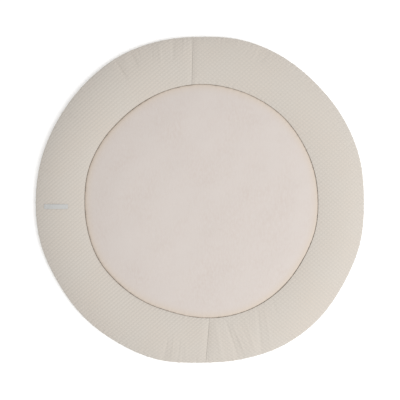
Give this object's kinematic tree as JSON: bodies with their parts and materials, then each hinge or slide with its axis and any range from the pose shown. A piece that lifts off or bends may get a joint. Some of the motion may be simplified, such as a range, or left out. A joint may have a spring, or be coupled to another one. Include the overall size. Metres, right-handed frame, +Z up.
{
  "type": "round playpen mat",
  "caption": "Round padded play mat: a soft domed centre sewn into a puffed patterned border, with a flat back cloth and a small sewn-on ribbon label",
  "frame": {"origin": "centre of the mat's underside, on the surface that it lies on", "axes": "+Z up through the mat's thickness; +Y towards the edge that is at the top of the picture, near one end seam of the border; +X towards the right edge, so the label lies at -X"},
  "size_m": [0.9025, 0.8961, 0.036],
  "materials": {
    "centre_plush": "soft short-pile off-white jersey plush with a faint pink cast, matt",
    "border_knit": "beige jacquard knit with small raised diamonds, matt",
    "back_cotton": "plain woven cotton, matt",
    "label_ribbon": "fine woven ribbon with a slight sheen, left bare"
  },
  "bodies": {
    "root": {"centre_pad": "centre_plush", "border_left": "border_knit", "border_right": "border_knit", "back_panel": "back_cotton", "label": "label_ribbon"}
  },
  "joints": []
}
